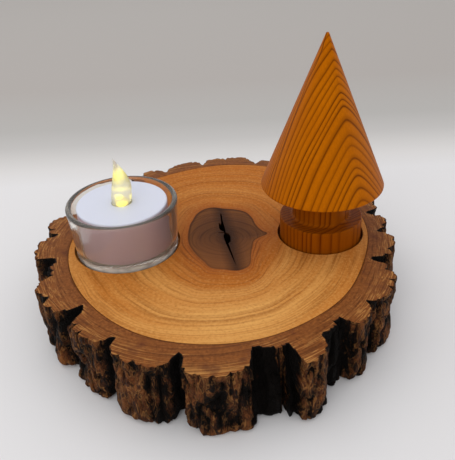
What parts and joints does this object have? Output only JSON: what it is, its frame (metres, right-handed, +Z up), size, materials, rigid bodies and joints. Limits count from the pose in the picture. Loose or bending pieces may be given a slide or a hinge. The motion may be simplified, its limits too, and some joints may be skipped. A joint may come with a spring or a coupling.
{
  "type": "tealight centrepiece",
  "caption": "Log slice with its bark on, holding a glass tealight cup with a flameless tealight and a turned wooden cone tree, each loose in a shallow round recess.",
  "frame": {"origin": "on the underside of the slice, directly below the pith", "axes": "+Z up; +X from the glass cup towards the turned tree; +Y away from the viewer, across the slice"},
  "size_m": [0.1549, 0.166, 0.1126],
  "materials": {
    "slice_wood": "oiled end grain, satin",
    "bark": "rough furrowed bark",
    "turned_wood": "turned and oiled, satin",
    "clear_glass": "pressed clear glass, polished",
    "white_plastic": "moulded, satin",
    "flame_plastic": "clear moulded, glowing",
    "lamp_resin": "moulded resin",
    "grey_plastic": "moulded",
    "black_plastic": "moulded",
    "cell_steel": "nickel plated",
    "contact_metal": "plated spring steel"
  },
  "bodies": {
    "base": {"wood_slice": "slice_wood", "bark_ring": "bark"},
    "tree": {"turned_tree": "turned_wood"},
    "cup": {"glass_cup": "clear_glass"},
    "tealight": {"candle_shell": "white_plastic", "flame_lens": "flame_plastic", "led_lamp": "lamp_resin", "led_leads": "contact_metal", "base_plate": "grey_plastic", "coin_cell": "cell_steel", "negative_contact": "contact_metal", "positive_contact": "contact_metal"},
    "switch": {"switch_slider": "black_plastic", "switch_contact": "contact_metal"},
    "cover": {"battery_cover": "grey_plastic"}
  },
  "joints": [
    {"name": "tree_lift", "type": "slide", "parent": "base", "child": "tree", "axis": [0, 0, 1], "range_m": [0, 0.04]},
    {"name": "cup_lift", "type": "slide", "parent": "base", "child": "cup", "axis": [0, 0, 1], "range_m": [0, 0.04]},
    {"name": "tealight_lift", "type": "slide", "parent": "cup", "child": "tealight", "axis": [0, 0, 1], "range_m": [0, 0.03]},
    {"name": "switch_slide", "type": "slide", "parent": "tealight", "child": "switch", "axis": [0, 1, 0], "range_m": [0, 0.0024]},
    {"name": "cover_twist", "type": "hinge", "parent": "tealight", "child": "cover", "pos_m": [-0.0431, 0, 0.031], "axis": [0, 0, 1], "range_deg": [0, 30]}
  ]
}
